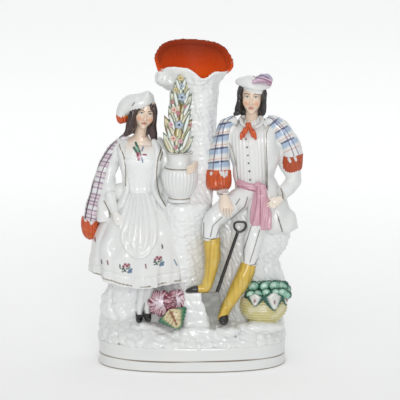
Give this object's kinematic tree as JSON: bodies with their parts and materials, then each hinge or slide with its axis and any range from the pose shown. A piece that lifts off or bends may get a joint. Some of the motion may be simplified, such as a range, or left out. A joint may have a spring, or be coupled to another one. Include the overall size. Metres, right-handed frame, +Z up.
{
  "type": "spill vase",
  "caption": "Flat-backed pottery figure group: a lady and a gardener beside a hollow tree trunk that holds spills, on an oval plinth.",
  "frame": {"origin": "middle of the plinth's flat underside", "axes": "+Z up, the figures face -Y, +X to the right seen from the front"},
  "size_m": [0.219, 0.1, 0.323],
  "materials": {
    "white_glaze": "gloss",
    "skin_enamel": "gloss",
    "orange_enamel": "gloss",
    "black_enamel": "gloss",
    "brown_enamel": "gloss",
    "ochre_enamel": "gloss",
    "pink_enamel": "gloss",
    "green_enamel": "gloss",
    "crimson_enamel": "gloss",
    "straw_enamel": "gloss",
    "grey_enamel": "gloss",
    "plaid_enamel": "gloss",
    "floret_enamel": "gloss"
  },
  "bodies": {
    "root": {"plinth": "white_glaze", "floor_slab": "white_glaze", "rocky_bank": "white_glaze", "foot_step": "white_glaze", "rock_pillar": "white_glaze", "stump": "white_glaze", "trunk_front": "white_glaze", "trunk_back": "white_glaze", "well_floor": "white_glaze", "branch_stub": "white_glaze", "urn": "white_glaze", "bouquet_leaves": "green_enamel", "bouquet_florets": "floret_enamel", "lady_skirt": "white_glaze", "lady_apron": "white_glaze", "lady_bodice": "white_glaze", "lady_jacket": "white_glaze", "lady_legs": "white_glaze", "lady_shoes": "black_enamel", "lady_head": "skin_enamel", "lady_hair": "brown_enamel", "lady_cap": "white_glaze", "cap_tassel": "orange_enamel", "lady_right_sleeve": "white_glaze", "lady_right_hand": "skin_enamel", "lady_left_sleeve": "white_glaze", "lady_left_hand": "skin_enamel", "lady_plaid": "plaid_enamel", "lady_plaid_fringe": "orange_enamel", "waistcoat": "white_glaze", "coat": "white_glaze", "waistcoat_buttons": "grey_enamel", "shirt_collar": "white_glaze", "neckerchief": "orange_enamel", "sash": "pink_enamel", "man_head": "skin_enamel", "man_hair": "black_enamel", "man_cap": "white_glaze", "cap_feather": "pink_enamel", "man_right_sleeve": "white_glaze", "man_right_hand": "skin_enamel", "man_left_sleeve": "white_glaze", "man_left_hand": "skin_enamel", "right_plaid": "plaid_enamel", "right_plaid_fringe": "orange_enamel", "left_plaid": "plaid_enamel", "left_plaid_fringe": "orange_enamel", "right_breeches": "white_glaze", "left_breeches": "white_glaze", "right_boot": "ochre_enamel", "left_boot": "ochre_enamel", "man_shoes": "black_enamel", "spade_shaft": "black_enamel", "spade_blade": "grey_enamel", "basket": "straw_enamel", "basket_fruit": "green_enamel", "basket_leaves": "green_enamel", "bloom": "crimson_enamel", "bloom_leaf": "green_enamel"}
  },
  "joints": []
}
